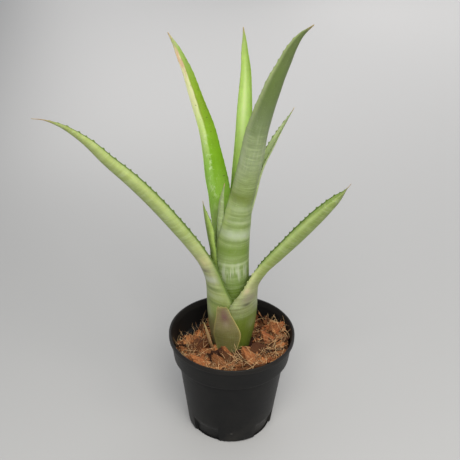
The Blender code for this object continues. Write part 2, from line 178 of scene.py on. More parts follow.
def rounded(corners, radius, steps=4):
    """A closed outline of (radius, height) corners, each replaced by a short curve."""
    corner = np.array(corners, float)
    before = np.roll(corner, 1, axis=0) - corner
    after = np.roll(corner, -1, axis=0) - corner
    reach_before = np.linalg.norm(before, axis=1)
    reach_after = np.linalg.norm(after, axis=1)
    trim = np.minimum(radius, 0.45 * np.minimum(reach_before, reach_after))
    start = corner + before * (trim / reach_before)[:, None]
    end = corner + after * (trim / reach_after)[:, None]
    u = np.linspace(0.0, 1.0, steps)[None, :, None]
    curve = (1 - u) ** 2 * start[:, None] + 2 * u * (1 - u) * corner[:, None] + u**2 * end[:, None]
    return curve.reshape(-1, 2)


def filled(outline, longest):
    """The same closed outline with points added wherever two stand further apart than longest."""
    after = np.roll(outline, -1, axis=0)
    counts = np.ceil(np.linalg.norm(after - outline, axis=1) / longest).astype(int).clip(1)
    start = np.repeat(outline, counts, axis=0)
    end = np.repeat(after, counts, axis=0)
    step = np.arange(counts.sum()) - np.repeat(np.cumsum(counts) - counts, counts)
    return start + (end - start) * (step / np.repeat(counts, counts))[:, None]


pot_low, pot_high = (np.array(corner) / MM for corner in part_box("pot"))
lip_radius = (pot_high[0] - pot_low[0]) / 2
pot_height = pot_high[2]
TAPER = 0.13
WALL = 1.3
FLOOR = 1.6
LIP_DEPTH, LIP_OVERHANG = 3.6, 1.4
BAND_HEIGHT, BAND_STEP = 19.0, 3.1
FEET, FOOT_ARC, FIRST_FOOT = 4, 51.0, -80.0
NOTCH_HEIGHT, NOTCH_DEPTH = 13.5, 2.2
DRAIN_RADIUS, DRAIN_INSET = 4.0, 4.7
lip = pot_height - LIP_DEPTH
shelf = pot_height - BAND_HEIGHT


def band_radius(height):
    """The rim band's outer radius in millimetres."""
    return lip_radius - LIP_OVERHANG - TAPER * (lip - height)


def body_radius(height):
    """The tapering body's outer radius in millimetres."""
    return band_radius(height) - BAND_STEP


floor_radius = body_radius(0.0) - 3.6


def make_pot_mesh():
    """Turn a rounded outline and press the notches into the foot."""
    corners = [
        (lip_radius - WALL - 0.1, pot_height),
        (lip_radius, pot_height),
        (lip_radius, lip),
        (band_radius(lip), lip - 0.2),
        (band_radius(shelf), shelf),
        (body_radius(shelf) + 0.4, shelf - 1.2),
        (body_radius(shelf - 2.2), shelf - 2.2),
        (body_radius(1.2), 1.2),
        (body_radius(0.0) - 0.9, 0.0),
        (floor_radius - 0.8, 0.0),
        (floor_radius - 0.8, FLOOR),
        (body_radius(0.0) - 3.4, FLOOR),
        (body_radius(12.5) - 3.3, 12.5),
        (body_radius(16.5) - WALL, 16.5),
        (body_radius(shelf) - WALL, shelf - 0.8),
        (band_radius(shelf) - WALL, shelf + 0.8),
        (band_radius(lip) - WALL, lip - 0.4),
    ]
    outline = filled(rounded(corners, 0.55), 1.6)
    pitch = 360.0 / FEET
    sides = FIRST_FOOT + np.arange(FEET)[:, None] * pitch + np.array((-0.5, 0.5)) * FOOT_ARC
    close = sides.reshape(-1, 1) + np.linspace(-1.2, 1.2, 9)
    even = np.linspace(0.0, 360.0, 240, endpoint=False) + 0.07
    turn = np.sort(np.concatenate((even, close.ravel())) % 360.0)
    from_foot = np.abs((turn - FIRST_FOOT + pitch / 2) % pitch - pitch / 2)
    notch = np.clip((from_foot - FOOT_ARC / 2 + 0.3) / 0.6, 0.0, 1.0)
    radius, height = outline[:, 0], outline[:, 1]
    outside = (radius > body_radius(height) - 1.2) & (height < NOTCH_HEIGHT + 0.5)
    press = NOTCH_DEPTH * (1.0 - np.clip(height / NOTCH_HEIGHT, 0.0, 1.0) ** 3) * outside
    reach = radius[:, None] - press[:, None] * notch[None, :]
    angle = np.radians(turn)[None, :]
    x, y, z = reach * np.cos(angle), reach * np.sin(angle), height[:, None] + 0 * angle
    points = np.stack((x, y, z), axis=-1)
    faces = ring_faces(len(outline) + 1, len(turn)) % (len(outline) * len(turn))
    return points * MM, faces[:, ::-1]


def make_floor_mesh():
    """Plates that share the floor, each round its own drain hole.

    Rays run from the middle of the hole to the plate's edge, which is the floor's arc or one of
    the two straight sides, whichever is nearer.
    """
    reach = floor_radius - DRAIN_INSET - DRAIN_RADIUS
    half = np.pi / FEET
    corner = np.arctan2(floor_radius * np.sin(half), floor_radius * np.cos(half) - reach)
    ray = np.sort(np.concatenate((np.linspace(-np.pi, np.pi, 48, endpoint=False), (-corner, corner))))
    across, up = np.cos(ray), np.sin(ray)
    to_arc = -reach * across + np.sqrt(floor_radius**2 - (reach * up) ** 2)
    slant = np.abs(up) * np.cos(half) - across * np.sin(half)
    to_side = np.where(slant > 1e-6, reach * np.sin(half) / np.maximum(slant, 1e-6), np.inf)
    edge = np.minimum(to_arc, to_side)
    share = np.array((0.0, 0.0, 0.3, 1.0, 1.0, 0.3))[:, None]
    level = np.array((0.05, 1.0, 1.0, 1.0, 0.05, 0.05))[:, None] * (FLOOR - 0.03)
    out = DRAIN_RADIUS + (edge[None, :] - DRAIN_RADIUS) * share
    x, y, z = reach + out * across, out * up, level + 0 * out
    quads = (ring_faces(len(share) + 1, len(ray)) % x.size)[:, ::-1]
    points, faces = [], []
    for plate in range(FEET):
        turn = np.radians(FIRST_FOOT + (plate + 0.5) * 360.0 / FEET)
        cosine, sine = np.cos(turn), np.sin(turn)
        points.append(np.stack((x * cosine - y * sine, x * sine + y * cosine, z), axis=-1).reshape(-1, 3))
        faces.append(quads + plate * x.size)
    return np.concatenate(points) * MM, np.concatenate(faces)


def plastic():
    """Black plastic: a satin sheen, fine rubbed streaks round it, dust low down, a gate mark and a painted
    highlight along the lip.
    """
    shader = Shader("black_plastic")
    place = shader.place()
    x, y, z = (shader.part(place, axis) for axis in range(3))
    turn = y.math("ARCTAN2", x)
    streak = shader.noise(shader.vector(turn * 2.2, z * 900.0, 0.0), 1.0, 3.0, 0.6)
    cloud = shader.noise(place, 55.0, 4.0, 0.6)
    speck = shader.noise(place, 1500.0, 2.0, 0.7).fade(0.68, 0.76)
    dust = (1.0 - z.fade(0.0, 0.03)) * cloud.fade(0.35, 0.75)
    # Painted highlight along the lip: its top few millimetres are mixed a little towards a lighter brown.
    rim = z.fade((lip - 0.6) * MM, lip * MM)
    colour = shader.mix(cloud.fade(0.3, 0.8), srgb(19, 19, 19), srgb(27, 26, 25))
    colour = shader.mix(rim * 0.1, colour, srgb(64, 56, 48))
    colour = shader.mix(dust * 0.16 + speck * 0.12, colour, srgb(84, 80, 72))
    gate = turn.near(np.radians(-88.0), 0.05) * z.near(0.0095, 0.0016)
    colour = shader.mix(gate * 0.5, colour, srgb(78, 76, 72))
    grain = shader.noise(place, 3500.0, 2.0, 0.5)
    shader.finish({
        "Base Color": colour,
        "Roughness": 0.34 + streak * 0.16 + cloud * 0.1,
        "Specular IOR Level": 0.17,
        "Normal": shader.bump(grain * 0.6 + streak * 0.4 + gate * 6.0, 0.00006),
    })
    return shader


black_plastic = plastic()
add_piece("pot_shell", *make_pot_mesh(), black_plastic, "pot_plastic", ("pot",))
pot_floor = add_piece("pot_floor", *make_floor_mesh(), black_plastic, "pot_plastic")
pot_floor.data.set_sharp_from_angle(angle=np.radians(40))


# ---- Growing medium -----------------------------------------------------------------------
# Coconut husk packed in the pot, dark and damp between the chips. It fills the pot from its floor
# to an uneven heap with two hollows at the back, and it is packed round the plant's base.

stem_low, stem_high = (np.array(corner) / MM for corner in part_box("stem"))
plant = np.array([(stem_low[0] + stem_high[0]) / 2, (stem_low[1] + stem_high[1]) / 2, stem_low[2]])


def waves(x, y, size, count, draw):
    """Smooth random hills about one high: a sum of sine waves that run in drawn directions."""
    way = draw.uniform(0.0, 2 * np.pi, count)
    pitch = 2 * np.pi / (size * draw.uniform(0.7, 1.5, count))
    phase = draw.uniform(0.0, 2 * np.pi, count)
    run = x[..., None] * np.cos(way) + y[..., None] * np.sin(way)
    return np.sin(run * pitch + phase).sum(axis=-1) / np.sqrt(count)


def heap_height(x, y):
    """The heap's mean height: higher at the right and the front, with two hollows at the back."""
    hollow = 9.5 * np.exp(-((x + 29.0) ** 2 + (y - 23.0) ** 2) / 240.0)
    hollow += 8.5 * np.exp(-((x - 18.0) ** 2 + (y - 23.0) ** 2) / 55.0)
    hills = 0.9 * waves(x, y, 17.0, 6, np.random.default_rng(3))
    return pot_height - 12.8 + 0.1 * x - 0.06 * y + hills - hollow


def held_inside(points, gap):
    """Points drawn in towards the pot's axis until they stand clear of its stepped inner wall."""
    height = points[..., 2]
    above = height > shelf + 1.2
    limit = np.where(above, band_radius(height), body_radius(height)) - WALL - gap
    out = np.maximum(np.hypot(points[..., 0], points[..., 1]), 1e-6)
    share = np.minimum(1.0, limit / out)[..., None]
    return points * np.concatenate((share, share, np.ones_like(share)), axis=-1)


def make_husk_mesh():
    """A closed body: out along the floor, up inside the wall, and in over the heap's hills."""
    inside = [(0.2, 2.0), (body_radius(2.0) - 3.9, 2.0), (body_radius(12.5) - 3.7, 12.5)]
    inside += [(body_radius(17.0) - WALL - 0.4, 17.0), (body_radius(57.0) - WALL - 0.4, 57.0)]
    columns = 220
    angle = np.linspace(0.0, 2 * np.pi, columns, endpoint=False)
    side = np.array(inside)
    top_radius = np.linspace(body_radius(61.0) + 1.6, 0.2, 60)
    radius = np.concatenate((side[:, 0], top_radius))[:, None] + 0 * angle
    x, y = radius * np.cos(angle), radius * np.sin(angle)
    draw = np.random.default_rng(8)
    hills = heap_height(x, y) - 2.6 + 0.9 * waves(x, y, 4.0, 9, draw)
    hills = hills + 0.35 * waves(x, y, 1.6, 9, draw)
    height = np.where(np.arange(len(radius))[:, None] < len(side), 0.0, hills)
    height[:len(side)] = side[:, 1][:, None]
    points = held_inside(np.stack((x, y, height), axis=-1), 0.3)
    return points * MM, ring_faces(len(radius) + 1, columns) % (len(radius) * columns)


def husk_shader(name, light, dark, damp):
    """Husk: fibres along each chip, pale where it is cut, dark where it is damp, and matt."""
    shader = Shader(name, Specular_IOR_Level=0.25)
    grain = shader.attribute("grain", 1)
    tone = shader.attribute("tone")
    place = shader.place()
    u, v, w = (shader.part(grain, axis) for axis in range(3))
    fibre = shader.noise(shader.vector(u * 0.2, v * 1.5, w * 1.5), 1.0, 5.0, 0.7, 0.4)
    patch = shader.noise(place, 230.0, 4.0, 0.6)
    pore = shader.noise(place, 1300.0, 3.0, 0.65).fade(0.56, 0.7)
    colour = shader.mix(fibre.fade(0.3, 0.72), dark, light)
    colour = shader.mix(patch.fade(0.5, 0.78) * 0.5, colour, srgb(206, 146, 92))
    colour = shader.mix(tone.near(0.62, 0.16) * 0.4, colour, srgb(146, 70, 38))
    colour = shader.mix(pore * 0.55, colour, srgb(48, 24, 12))
    colour = shader.mix(tone.fade(0.6, 0.05) * damp, colour, srgb(70, 34, 17))
    shader.finish({
        "Base Color": shader.shade(colour, 0.34 + tone * 0.7),
        "Roughness": 0.78 + fibre * 0.2,
        "Normal": shader.bump(fibre * 0.7 - pore * 0.5 + patch * 0.4, 0.0005),
    })
    return shader


points, faces = make_husk_mesh()
flat = points.reshape(-1, 3)
values = {"grain": flat / MM * 0.6, "tone": np.full(len(flat), 0.12)}
finish = husk_shader("packed_husk_fibre", srgb(98, 60, 36), srgb(44, 24, 13), 0.6)
add_piece("husk_body", points, faces, finish, "packed_husk", ("growing_medium",), values)


# ---- Husk chips ---------------------------------------------------------------------------
# Cut coconut husk chips about a centimetre long, orange-brown and fibrous, lying at all angles
# over the heap, with crumbs between them. They lie loose.

def cube_surface(steps):
    """Points on a cube's six sides, from -1 to 1, and its quads, with shared points joined."""
    line = np.linspace(-1.0, 1.0, steps + 1)
    a, b = np.meshgrid(line, line, indexing="ij")
    sides = []
    for axis in range(3):
        for sign in (-1.0, 1.0):
            side = np.empty((steps + 1, steps + 1, 3))
            side[..., axis] = sign
            side[..., (axis + 1) % 3] = a if sign > 0 else b
            side[..., (axis + 2) % 3] = b if sign > 0 else a
            sides.append(side)
    number = np.arange((steps + 1) ** 2).reshape(steps + 1, steps + 1)
    corners = (number[:-1, :-1], number[1:, :-1], number[1:, 1:], number[:-1, 1:])
    quads = np.stack(corners, axis=-1).reshape(-1, 4)
    faces = np.concatenate([quads + index * number.size for index in range(6)])
    places = np.round(np.concatenate(sides).reshape(-1, 3), 6)
    points, shared = np.unique(places, axis=0, return_inverse=True)
    return points, shared.ravel()[faces]


def turned_about(axis, angle):
    """Rotation matrices, one for each angle, about the x, y or z axis."""
    cosine, sine = np.cos(angle), np.sin(angle)
    matrix = np.zeros((len(angle), 3, 3))
    matrix[:, axis, axis] = 1.0
    first, second = (axis + 1) % 3, (axis + 2) % 3
    matrix[:, first, first] = cosine
    matrix[:, second, second] = cosine
    matrix[:, second, first] = sine
    matrix[:, first, second] = -sine
    return matrix


def scattered(count, spacing, inner, outer, draw):
    """Places in the ring between the plant and the wall that keep a spacing from each other."""
    tries = draw.uniform(-outer, outer, (6000, 2))
    from_plant = np.hypot(tries[:, 0] - plant[0], tries[:, 1] - plant[1])
    tries = tries[(np.hypot(*tries.T) < outer) & (from_plant > inner)]
    kept = tries[:1]
    for place in tries[1:]:
        if len(kept) < count and np.min(np.hypot(*(kept - place).T)) > spacing:
            kept = np.vstack((kept, place))
    return kept


def chip_mesh(places, lift, size, tilt, steps, ragged, draw):
    """Splintered flakes, one at each place.

    Each is a box that is warped and bent at random, narrows towards one end, has ridges along
    its grain and has torn ends, and is then turned about its own place.
    """
    cube, quads = cube_surface(steps)
    count = len(places)
    warp = draw.normal(0.0, 0.17, (count, 3, 3))
    bend = draw.normal(0.0, 0.16, (count, 3, 3))
    local = cube + np.einsum("nij,pj->npi", warp, cube) + np.einsum("nij,pj->npi", bend, cube**2)
    ridge = np.sin(cube[None, :, 1] * 5.0 + draw.uniform(0, 6, (count, 1))) * cube[None, :, 2]
    local[..., 2] += 0.3 * ridge
    narrowing = draw.uniform(-0.55, 0.55, (count, 1)) * cube[None, :, 0]
    local[..., 1] *= 1.0 - np.abs(narrowing) * 0.4 + narrowing
    torn_end = (np.abs(cube[:, 0]) > 0.99) * np.sign(cube[:, 0])
    local[..., 0] += torn_end * draw.normal(-0.1, ragged, (count, len(cube)))
    local += draw.normal(0.0, 0.07, local.shape)
    half = np.array(size) / 2 * draw.uniform(0.55, 1.2, (count, 3))
    local = local * half[:, None, :]
    rotation = turned_about(2, draw.uniform(0, 2 * np.pi, count))
    rotation = rotation @ turned_about(0, draw.normal(0.0, tilt, count))
    rotation = rotation @ turned_about(1, draw.normal(0.0, tilt * 0.7, count))
    height = heap_height(*places.T) + lift * draw.uniform(0.0, 1.0, count)
    centre = np.column_stack((places, height))
    points = held_inside(np.einsum("nij,npj->npi", rotation, local) + centre[:, None, :], 0.4)
    faces = (quads[None] + (np.arange(count) * len(cube))[:, None, None]).reshape(-1, 4)
    tone = np.repeat(draw.uniform(0.0, 1.0, count), len(cube))
    grain = (local + draw.uniform(0, 90, (count, 1, 3))).reshape(-1, 3)
    return points.reshape(-1, 3) * MM, faces, {"grain": grain, "tone": tone}


def joined(meshes):
    """Several sets of points, faces and values as one."""
    starts = np.cumsum([0] + [len(points) for points, faces, values in meshes[:-1]])
    points = np.concatenate([mesh[0] for mesh in meshes])
    faces = np.concatenate([mesh[1] + start for mesh, start in zip(meshes, starts)])
    values = {key: np.concatenate([mesh[2][key] for mesh in meshes]) for key in meshes[0][2]}
    return points, faces, values


draw = np.random.default_rng(21)
wall = band_radius(70.0) - WALL
points, faces, values = joined([
    chip_mesh(scattered(80, 5.8, 21.5, wall - 4.2, draw), 1.0, (12.0, 7.0, 3.4), 0.5, 4, 0.14, draw),
    chip_mesh(scattered(64, 6.6, 21.5, wall - 3.8, draw), 3.4, (12.5, 5.2, 2.4), 0.6, 4, 0.16, draw),
    chip_mesh(scattered(30, 8.6, 22.5, wall - 4.6, draw), 5.4, (14.5, 8.0, 3.4), 0.42, 4, 0.12, draw),
])
chip_nodes = [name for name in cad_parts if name.startswith("husk_chip")]
finish = husk_shader("husk_chip_fibre", srgb(206, 138, 82), srgb(112, 58, 30), 0.85)
husk_chips = add_piece("husk_chips", points, faces, finish, "husk_chip", chip_nodes, values)
husk_chips.data.set_sharp_from_angle(angle=np.radians(38))
points, faces, values = joined([
    chip_mesh(scattered(220, 1.5, 19.3, wall - 1.6, draw), 2.2, (3.2, 1.3, 0.9), 0.8, 2, 0.25, draw),
    chip_mesh(scattered(150, 2.2, 19.6, wall - 2.0, draw), 5.0, (6.0, 1.1, 0.8), 0.6, 2, 0.3, draw),
])
finish = husk_shader("husk_crumb_fibre", srgb(196, 140, 88), srgb(112, 64, 34), 0.7)
add_piece("husk_crumbs", points, faces, finish, "husk_chip", (), values)


# ---- Husk fibres --------------------------------------------------------------------------
# Loose coir fibres, tan and as thin as bristles. They lie over the chips in every direction, and
# some stand up against the pot's wall.

def fibre_mesh(places, length, rise, radius, draw):
    """Thin four-sided threads with closed ends: each starts at its place and curls as it runs."""
    count, steps = len(places), 9
    s = np.linspace(0.0, 1.0, steps)[None, :]
    way = draw.uniform(0, 2 * np.pi, (count, 1)) + draw.normal(0.0, 1.1, (count, 1)) * s
    reach = length * draw.uniform(0.5, 1.2, (count, 1)) / (steps - 1)
    climb = np.clip(draw.normal(rise, 0.3, (count, 1)), -0.1, 1.3)
    climb = climb + draw.normal(0.0, 0.5, (count, 1)) * (s - 0.4)
    step = np.stack((np.cos(way) * np.cos(climb), np.sin(way) * np.cos(climb), np.sin(climb)), axis=-1)
    run = np.cumsum(step * reach[..., None], axis=1)
    start = np.column_stack((places, heap_height(*places.T) + draw.uniform(1.5, 4.8, count)))
    middled = 0.4 * (run[:, -1:] - run[:, :1]) * np.array((1, 1, 0))
    path = held_inside(start[:, None, :] + run - run[:, :1] - middled, 0.6)
    across = np.cross(step, (0.0, 0.0, 1.0)) + 1e-6
    across /= np.linalg.norm(across, axis=-1)[..., None]
    up = np.cross(across, step)
    taper = radius * draw.uniform(0.6, 1.3, (count, 1)) * (1.0 - 0.6 * s)
    turn = np.arange(4) * np.pi / 2
    ring = np.cos(turn)[:, None] * across[..., None, :] + np.sin(turn)[:, None] * up[..., None, :]
    points = path[..., None, :] + ring * taper[..., None, None]
    first, size = np.arange(4), 4 * steps
    thread = np.concatenate((ring_faces(steps, 4), (first, size - 1 - first)))[:, ::-1]
    faces = (thread[None] + (np.arange(count) * size)[:, None, None]).reshape(-1, 4)
    tone = np.repeat(draw.uniform(0.3, 1.0, count), size)
    flat = points.reshape(-1, 3)
    return flat * MM, faces, {"grain": flat, "tone": tone}


draw = np.random.default_rng(5)
points, faces, values = joined([
    fibre_mesh(scattered(360, 1.4, 20.5, wall - 2.0, draw), 11.0, 0.12, 0.17, draw),
    fibre_mesh(scattered(150, 1.7, 32.0, wall - 1.5, draw), 12.0, 0.75, 0.16, draw),
])
finish = husk_shader("coir_fibre", srgb(252, 220, 168), srgb(214, 166, 110), 0.2)
add_piece("husk_fibres", points, faces, finish, "husk_chip", (), values)


# ---- Stem ---------------------------------------------------------------------------------
# The short woody stem that the leaf bases grow from. The leaf bases hide it.

finish = Shader("stem_tissue_green", Roughness=0.6)
ridge = finish.noise(finish.place(), 420.0, 4.0, 0.6)
finish.finish({
    "Base Color": finish.mix(ridge.fade(0.3, 0.7), srgb(150, 156, 108), srgb(196, 198, 158)),
    "Normal": finish.bump(ridge, 0.0004),
})
for material_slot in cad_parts["stem"].material_slots:
    material_slot.material = finish.material


# ---- Leaves -------------------------------------------------------------------------------
# Living bromeliad leaves: leathery blades, channelled, with small hooked teeth along both edges
# and broad sheaths that wrap one another at the base. Pale scales band their outer faces.

def along_curve(sections, places):
    """Read sections at places from 0 to 1 along a smooth curve through the given ones.

    Each span is a cubic whose slopes at its ends are the weighted mean of the spans beside them.
    """
    given = np.array(sections, float)
    steps = np.linalg.norm(np.diff(given[:, :3], axis=0), axis=1)
    along = np.concatenate(([0.0], np.cumsum(steps)))
    rates = np.diff(given, axis=0) / steps[:, None]
    before, after = steps[:-1, None], steps[1:, None]
    middle = (rates[:-1] * after + rates[1:] * before) / (before + after)
    slopes = np.concatenate((rates[:1], middle, rates[-1:]))
    wanted = np.clip(places, 0.0, 1.0) * along[-1]
    span = np.clip(np.searchsorted(along, wanted, side="right") - 1, 0, len(steps) - 1)
    length = steps[span][..., None]
    u = (wanted - along[span])[..., None] / length
    start, end = given[span], given[span + 1]
    lead, trail = slopes[span] * length, slopes[span + 1] * length
    hermite = (2 * u**3 - 3 * u**2 + 1) * start + (u**3 - 2 * u**2 + u) * lead
    return hermite + (3 * u**2 - 2 * u**3) * end + (u**3 - u**2) * trail, along[-1]


def blade_mesh(angle, sections, seed, rows=330, thick=1.25, teeth=6.0, tooth=0.9, top=None,
               wave=0.14, twist=(0, 1, 0)):
    """A closed blade: arcs square to a curved centre line, as a back and an inner face.

    A section is the centre line's x, y and z, the arc's radius and its half angle in degrees.
    A place along and across the blade turns about the centre line by the arc's half angle times
    the place across, plus the blade's twist there. The arcs stand square to the blade's keel,
    which goes straight up as far as the widest arc and then follows the back.
    The edges swing out into narrow teeth that lean to the tip, and the thickness falls towards
    the edges and the tip. A top cuts each column short at its own place.
    """
    draw = np.random.default_rng(seed)
    line = np.sin(np.linspace(-1.0, 1.0, 25) * np.pi / 2 * 0.93) / np.sin(np.pi / 2 * 0.93)
    across = np.concatenate(([-1.0], line * 0.985, [1.0]))
    reach = np.ones(len(across)) if top is None else np.interp(across, *np.array(top).T)
    s = np.linspace(0.0, 1.0, rows)[:, None] * reach[None, :]
    read, total = along_curve(sections, s)
    facing = np.array((np.cos(np.radians(angle)), np.sin(np.radians(angle)), 0.0))

    def keel(places):
        """The back's middle line, with each radius raised to the widest one above it."""
        near = along_curve(sections, places)[0]
        widest = np.maximum.accumulate(near[::-1, :, 3])[::-1]
        return near[..., :3] + widest[..., None] * facing

    tangent = keel(s + 0.012) - keel(s - 0.012)
    tangent /= np.linalg.norm(tangent, axis=-1)[..., None]
    back = facing - (tangent @ facing)[..., None] * tangent
    back /= np.linalg.norm(back, axis=-1)[..., None]
    side = np.cross(tangent, back)
    radius = read[..., 3]
    half = np.radians(read[..., 4])
    distance = s * total
    phase = (distance + draw.uniform(0, 9, 2)[(across > 0).astype(int)][None, :]) / teeth
    phase = phase + 0.16 * np.sin(phase * 2.1 + draw.uniform(0, 6))
    part = (phase % 1.0 - 0.5) * teeth
    hook = np.clip(1.0 - np.where(part < 0, -part / 1.5, part / 0.65), 0.0, 1.0)
    hook = hook * np.clip((distance - 0.16 * total) / 30.0, 0.2, 1.0) * np.clip((1.0 - s) * 9.0, 0.0, 1.0)
    edge = np.abs(across) > 0.999
    swing = np.sign(across) * edge * hook * tooth / np.maximum(radius, 1.5)
    turn = half * across[None, :] + swing + np.radians(np.interp(s, twist[:2], (0, twist[2])))
    ripple = across**4 * wave * np.sin(distance / 5.5 + 2.0 * np.sin(distance / 17.0) + np.sign(across) * 1.3)
    swell = 1.0 + 0.006 * np.sin(distance / 13.0 + draw.uniform(0, 6))
    radius = radius * swell + ripple * np.clip(s * 3 - 0.8, 0, 1)
    direction = np.cos(turn)[..., None] * back + np.sin(turn)[..., None] * side
    body = thick - (thick - 0.28) * np.abs(across) ** 3
    thickness = np.minimum(body[None, :] * (1.0 - 0.72 * s**3), 0.5 * radius)
    thickness = np.where(edge[None, :], 0.12, thickness)
    centre = read[..., :3] + plant
    outer = centre + radius[..., None] * direction
    inner = centre + (radius - thickness)[..., None] * direction
    points = np.concatenate((outer, inner[:, ::-1]), axis=1)
    ring = points.shape[1]
    half_ring = ring // 2
    faces = ring_faces(rows, ring)
    first = np.arange(half_ring - 1)
    cap = np.stack((first, ring - 1 - first, ring - 2 - first, first + 1), axis=-1)
    faces = np.concatenate((faces, cap, (cap + (rows - 1) * ring)[:, ::-1]))
    both = np.concatenate((across, across[::-1]))
    s = np.concatenate((s, s[:, ::-1]), axis=1)
    uv = np.stack((s, (both[None, :] + 1) / 2 + 0 * s), axis=-1).reshape(-1, 2)
    inside = np.repeat([[0.0] * half_ring + [1.0] * half_ring], rows, axis=0)
    return points * MM, faces, {"inside": inside.ravel(), "along": (s * total).ravel()}, uv


def leaf_shader(name, outer, inner, marks=(), band=0.4, band_from=0.0, band_to=1.0, rim=(0.8, 0.8),
                edge=(78, 96, 48), tip=0.975, seed=0.0, light=0.86, extra=None):
    """A leaf: colours that change along it, pale scales in broken bands, fine veins, toothed rims.

    The outer and inner colours are stops along the blade. The bands have a strength and a range.
    A mark is a soft patch of its own colour on the back: its place and reach along the blade,
    its place and reach across it, its strength and its colour. Some marks are painted highlights.
    """
    shader = Shader(name, Specular_IOR_Level=0.3, Subsurface_Weight=0.3, Subsurface_Scale=0.0015)
    shader.surface.inputs["Subsurface Radius"].default_value = (0.7, 1.0, 0.25)
    blade = shader.node("UVMap", {"uv_map": "blade"}, {})
    s = shader.part(blade, 0)
    t = shader.part(blade, 1) * 2.0 - 1.0
    along = shader.attribute("along")
    inside = shader.attribute("inside")
    place = shader.place()

    def run(stops):
        """Blend from stop to stop along the blade."""
        colour = srgb(*stops[0][1])
        for (low, before), (high, after) in zip(stops, stops[1:]):
            colour = shader.mix(s.fade(low, high), colour, srgb(*after))
        return colour

    cross = shader.vector(along * 0.3, t * 0.35, seed + 3.0)
    wide = shader.noise(cross, 1.0, 3.0, 0.7, 0.3).fade(0.42, 0.66)
    narrow = shader.noise(shader.vector(along * 0.9, t * 0.9, seed + 7.0), 1.0, 3.0, 0.65).fade(0.45, 0.68)
    vein = shader.noise(shader.vector(along * 0.035, t * 24.0, seed), 1.0, 3.0, 0.6)
    cloud = shader.noise(place, 75.0, 3.0, 0.55)
    mottle = shader.noise(place, 260.0, 4.0, 0.62)
    speck = shader.noise(place, 1400.0, 2.0, 0.6).fade(0.64, 0.74)
    zone = s.fade(band_from, band_from + 0.08) * (1.0 - s.fade(band_to - 0.08, band_to))
    scales = (wide * 0.55 + narrow * 0.5) * (0.3 + mottle * 1.4) * zone * band * (1.0 - inside * 0.75)
    base = shader.mix(inside, run(outer), run(inner))
    base = shader.shade(base, 0.6 + vein * 0.26 + mottle * 0.24 + cloud * 0.3)
    base = shader.mix(narrow * zone * band * 0.4 * (1.0 - wide), base, shader.shade(base, 0.66))
    base = shader.mix(scales, base, srgb(204, 218, 164))
    for middle, reach, over, width, strength, colour in marks:
        spot = s.near(middle, reach) * t.near(over, width) * (1.0 - inside) * (0.5 + mottle)
        base = shader.mix((spot * strength).math("MINIMUM", 1.0), base, srgb(*colour))
    base = shader.mix(speck * 0.2, base, srgb(226, 226, 204))
    if extra is not None:
        base = extra(shader, base, s, t, along, inside, mottle)
    rims = t.fade(-0.9, -0.975) * rim[0] + t.fade(0.9, 0.975) * rim[1]
    base = shader.mix(rims, base, srgb(*edge))
    dry = s.fade(tip - 0.02, tip + 0.015)
    base = shader.mix(dry, base, shader.mix(mottle.fade(0.3, 0.7), srgb(158, 126, 90), srgb(198, 176, 136)))
    relief = vein * 0.7 + scales * 0.3 + mottle * 0.4
    # Painted light and shade: each leaf's whole colour is scaled by a brightness of its own, light.
    shader.finish({
        "Base Color": shader.shade(base, light),
        "Roughness": 0.36 + scales * 0.3 + mottle * 0.18 - inside * 0.06,
        "Normal": shader.bump(relief, 0.0003),
    })
    return shader


def add_leaf(name, node, slot, angle, sections, seed, shader, **shape):
    """Add one blade in place of its CAD node."""
    points, faces, values, uv = blade_mesh(angle, sections, seed, **shape)
    return add_piece(name, points, faces, shader, slot, (node,), values, uv)


LOWER_RIGHT = (
    (0, 0, 6, 10.9, 60), (0, 0, 16, 13.2, 80), (0, 0, 26, 15.2, 92), (0, 0, 38, 17.3, 94),
    (0, 0, 54, 18.7, 88), (0.6, -0.2, 66, 18.2, 75), (7.2, -2, 76.5, 12.4, 68),
    (17.2, -4.9, 90.5, 8.6, 82), (29.5, -8.4, 106.5, 8, 93), (43.5, -12.4, 126, 8.2, 97),
    (55.7, -16, 143, 7.4, 92), (64.3, -18.5, 154, 5.4, 80), (72, -20.7, 163, 1.5, 40),
    (74.5, -21.4, 165.5, 0.5, 30))
finish = leaf_shader(
    "leaf_lower_right_skin",
    ((0.0, (100, 116, 38)), (0.24, (106, 122, 42)), (0.3, (126, 132, 80)), (0.4, (160, 164, 110)),
     (0.5, (152, 166, 82)), (0.64, (140, 158, 80)), (0.86, (134, 150, 74)), (1.0, (134, 146, 84))),
    ((0.0, (140, 162, 80)), (0.5, (160, 182, 96)), (1.0, (156, 174, 100))),
    marks=(
        (0.7, 0.4, -0.95, 0.3, 0.75, (184, 200, 128)), (0.45, 0.1, -0.9, 0.35, 0.8, (208, 212, 150)),
        (0.39, 0.03, -0.75, 0.3, 0.6, (206, 184, 152)), (0.345, 0.045, -0.45, 0.5, 0.8, (136, 128, 108)),
        (0.318, 0.014, -0.5, 0.25, 0.85, (82, 80, 58)), (0.3, 0.05, 0.05, 0.4, 0.6, (168, 170, 140)),
        (0.22, 0.04, -0.2, 0.3, 0.5, (150, 156, 110)),
    ), band=0.42, band_from=0.22, rim=(0.25, 0.9), tip=0.98, seed=11.0)
add_leaf("leaf_lower_right_blade", "leaf_lower_right", "leaf_green", -16, LOWER_RIGHT, 1, finish,
         rows=340, teeth=5.6, twist=(0.3, 0.5, -6))

